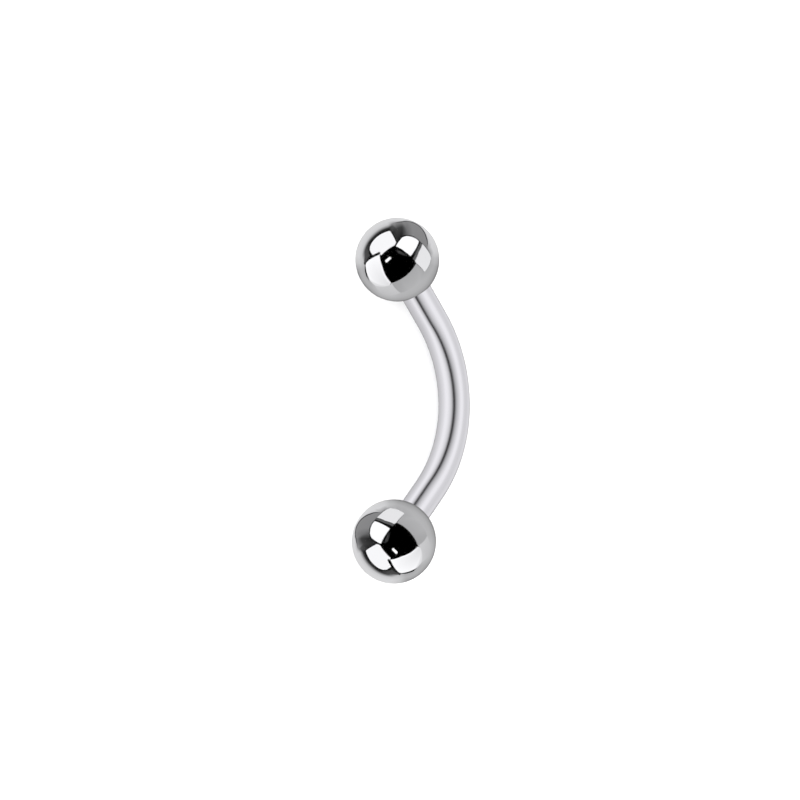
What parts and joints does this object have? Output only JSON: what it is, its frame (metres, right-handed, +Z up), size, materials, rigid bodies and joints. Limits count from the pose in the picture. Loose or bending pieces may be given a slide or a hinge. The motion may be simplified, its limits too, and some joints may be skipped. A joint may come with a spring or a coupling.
{
  "type": "eyebrow ring",
  "caption": "Curved barbell eyebrow ring in polished titanium: a bent bar with threaded ends and a mirror-polished ball screwed onto each end.",
  "frame": {"origin": "centre of the bottom of the bounding box, on the surface that the barbell lies on", "axes": "+Y along the line between the balls, towards the top ball; +X the way the bend bulges; +Z up from the surface"},
  "size_m": [0.0046, 0.014, 0.0032],
  "materials": {
    "titanium_bar": "drawn titanium, tumble polished to a soft shine with a faint lengthwise grain",
    "titanium_ball": "turned titanium, buffed to a mirror"
  },
  "bodies": {
    "bar": {"curved_bar": "titanium_bar"},
    "top_ball": {"top_ball": "titanium_ball"},
    "bottom_ball": {"bottom_ball": "titanium_ball"}
  },
  "joints": [
    {"name": "top_ball_unscrew", "type": "slide", "parent": "bar", "child": "top_ball", "axis": [-0.5625, 0.7965, 0.2215], "range_m": [0, 0.00175]},
    {"name": "bottom_ball_unscrew", "type": "slide", "parent": "bar", "child": "bottom_ball", "axis": [-0.5625, -0.7965, 0.2215], "range_m": [0, 0.00175]}
  ]
}
